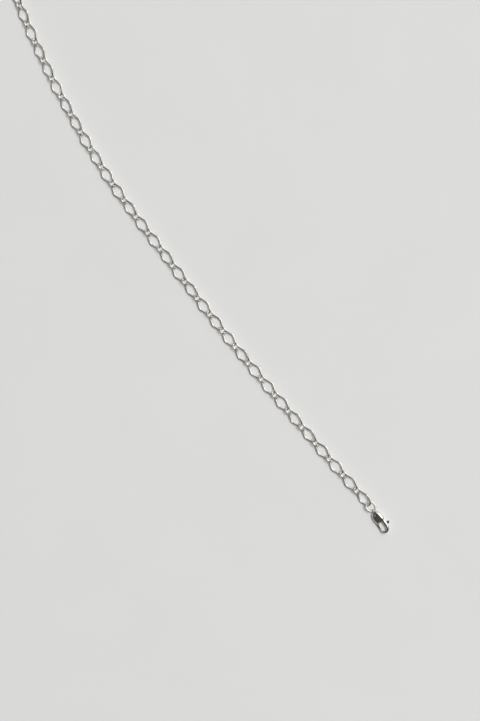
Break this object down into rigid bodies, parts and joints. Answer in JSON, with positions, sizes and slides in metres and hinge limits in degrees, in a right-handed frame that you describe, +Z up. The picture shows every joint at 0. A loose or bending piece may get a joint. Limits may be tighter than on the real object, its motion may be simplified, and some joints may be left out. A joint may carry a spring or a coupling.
{
  "type": "necklace",
  "caption": "Unfastened silver necklace chain lying open: long diamond-shaped wire links joined by small round links, with a jump ring and a lobster clasp.",
  "frame": {"origin": "middle of the necklace's footprint, on the surface it lies on", "axes": "+Z up from the surface; the clasp end lies at +X and -Y, the bend at the back of the neck at +Y, the plain end at -X"},
  "size_m": [0.2197, 0.2389, 0.0032],
  "materials": {
    "polished_silver": "polished sterling silver wire",
    "cast_silver": "tumbled and polished sterling silver casting"
  },
  "bodies": {
    "necklace": {"chain_front": "polished_silver", "chain_back": "polished_silver", "jump_ring": "polished_silver", "end_ring": "polished_silver", "clasp_body": "cast_silver", "clasp_pin": "polished_silver"},
    "lever": {"clasp_lever": "cast_silver"}
  },
  "joints": [
    {"name": "lever_pivot", "type": "hinge", "parent": "necklace", "child": "lever", "pos_m": [0.10461, -0.11268, 0.00125], "axis": [0, 0, 1], "range_deg": [0, 15], "stiffness_Nm_per_rad": 0.02}
  ]
}
